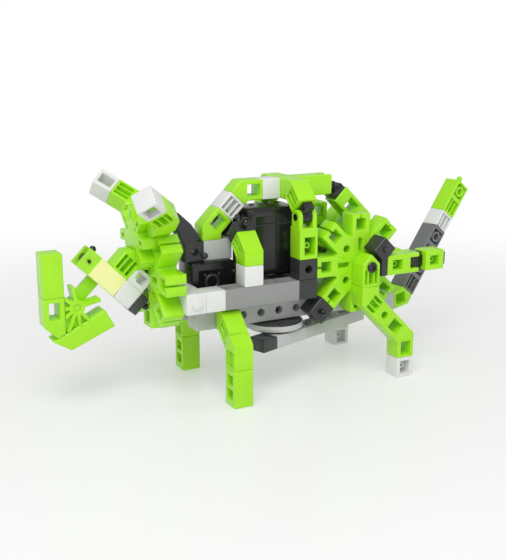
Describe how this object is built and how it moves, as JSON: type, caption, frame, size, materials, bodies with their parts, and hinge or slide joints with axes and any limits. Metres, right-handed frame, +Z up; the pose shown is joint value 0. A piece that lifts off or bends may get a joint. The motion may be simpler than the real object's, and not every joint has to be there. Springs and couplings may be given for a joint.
{
  "type": "modular robot creature",
  "caption": "Snap-together plastic walking robot with horned head, hub-shaped rear hips, jointed legs, arched spine, raised tail and a long drive link.",
  "frame": {"origin": "centre of the bounding box's bottom face, on the floor under the feet", "axes": "+X towards the tail, +Y towards the far side, +Z up; the head points to -X"},
  "size_m": [0.3758, 0.1132, 0.1625],
  "materials": {
    "lime_plastic": "satin",
    "yellow_green_plastic": "satin",
    "white_plastic": "satin",
    "light_grey_plastic": "satin",
    "mid_grey_plastic": "satin",
    "dark_grey_plastic": "satin",
    "black_plastic": "satin"
  },
  "bodies": {
    "chassis": {"arch_arms": "lime_plastic", "arch_cubes": "white_plastic", "arch_elbows": "lime_plastic", "arch_hinges": "black_plastic", "arch_posts": "lime_plastic", "arch_yoke": "lime_plastic", "box_clips": "dark_grey_plastic", "box_elbows": "lime_plastic", "brow_hub": "lime_plastic", "control_box": "black_plastic", "corner_blocks": "dark_grey_plastic", "cross_beam_front": "white_plastic", "cross_beam_mid": "dark_grey_plastic", "cross_beam_rear": "dark_grey_plastic", "hip_axles": "black_plastic", "horn_elbows": "lime_plastic", "horn_tips": "white_plastic", "mask_hub": "lime_plastic", "motor_housing": "black_plastic", "muzzle_bar": "yellow_green_plastic", "muzzle_elbow": "lime_plastic", "muzzle_pin": "black_plastic", "muzzle_socket": "white_plastic", "neck_beam": "light_grey_plastic", "neck_block": "dark_grey_plastic", "nose_bracket": "lime_plastic", "rail_beams": "mid_grey_plastic", "rear_arm_rod": "lime_plastic", "rear_bracket": "dark_grey_plastic", "rear_column": "light_grey_plastic", "spine_hinge": "black_plastic", "spine_rod": "lime_plastic", "spine_tongue": "lime_plastic", "star_cubes": "dark_grey_plastic", "tail_clevis": "light_grey_plastic", "under_beams": "light_grey_plastic", "wheel_hub_far": "lime_plastic", "wheel_hub_near": "lime_plastic", "white_cubes": "white_plastic"},
    "rear_arm": {"rear_arm_swivel": "black_plastic", "rear_arm_tip": "lime_plastic"},
    "tail": {"tail_base": "white_plastic", "tail_elbow": "lime_plastic", "tail_rod": "mid_grey_plastic", "tail_tip": "lime_plastic"},
    "disc": {"drive_disc": "dark_grey_plastic"},
    "link": {"link_beam": "light_grey_plastic"},
    "nose": {"nose_fan": "lime_plastic", "nose_horn": "lime_plastic", "nose_sole": "lime_plastic"},
    "leg_rear_near": {"rear_thigh_near": "lime_plastic", "rear_shin_near": "lime_plastic", "rear_foot_near": "white_plastic"},
    "leg_front_near": {"front_thigh_near": "lime_plastic", "front_shin_near": "lime_plastic"},
    "leg_rear_far": {"rear_thigh_far": "lime_plastic", "rear_shin_far": "lime_plastic", "rear_foot_far": "white_plastic"},
    "leg_front_far": {"front_thigh_far": "lime_plastic", "front_shin_far": "lime_plastic"}
  },
  "joints": [
    {"name": "rear_hip_near", "type": "hinge", "parent": "chassis", "child": "leg_rear_near", "pos_m": [0.04611, -0.04545, 0.09094], "axis": [0, 1, 0], "range_deg": [-10, 15]},
    {"name": "front_hip_near", "type": "hinge", "parent": "chassis", "child": "leg_front_near", "pos_m": [-0.06039, -0.0267, 0.05869], "axis": [0, 1, 0], "range_deg": [-20, 20]},
    {"name": "rear_hip_far", "type": "hinge", "parent": "chassis", "child": "leg_rear_far", "pos_m": [0.04611, 0.04545, 0.09094], "axis": [0, 1, 0], "range_deg": [-10, 15]},
    {"name": "front_hip_far", "type": "hinge", "parent": "chassis", "child": "leg_front_far", "pos_m": [-0.06039, 0.0267, 0.05869], "axis": [0, 1, 0], "range_deg": [-20, 20]},
    {"name": "disc_turn", "type": "hinge", "parent": "chassis", "child": "disc", "pos_m": [-0.01539, -0.015, 0.04744], "axis": [0, 0, 1], "range_deg": [-15, 15]},
    {"name": "link_turn", "type": "hinge", "parent": "disc", "child": "link", "pos_m": [-0.01989, -0.02925, 0.04144], "axis": [0, 0, 1], "range_deg": [-4, 4]},
    {"name": "rear_arm_swivel_turn", "type": "hinge", "parent": "chassis", "child": "rear_arm", "pos_m": [0.08661, -0.045, 0.09019], "axis": [0, 0, 1], "range_deg": [-18, 18]},
    {"name": "tail_lift", "type": "hinge", "parent": "chassis", "child": "tail", "pos_m": [0.08286, 0, 0.04894], "axis": [0, -1, 0], "range_deg": [-12, 12]},
    {"name": "nose_tip", "type": "hinge", "parent": "chassis", "child": "nose", "pos_m": [-0.16494, 0.00525, 0.07594], "axis": [0, 1, 0], "range_deg": [-10, 10]}
  ]
}
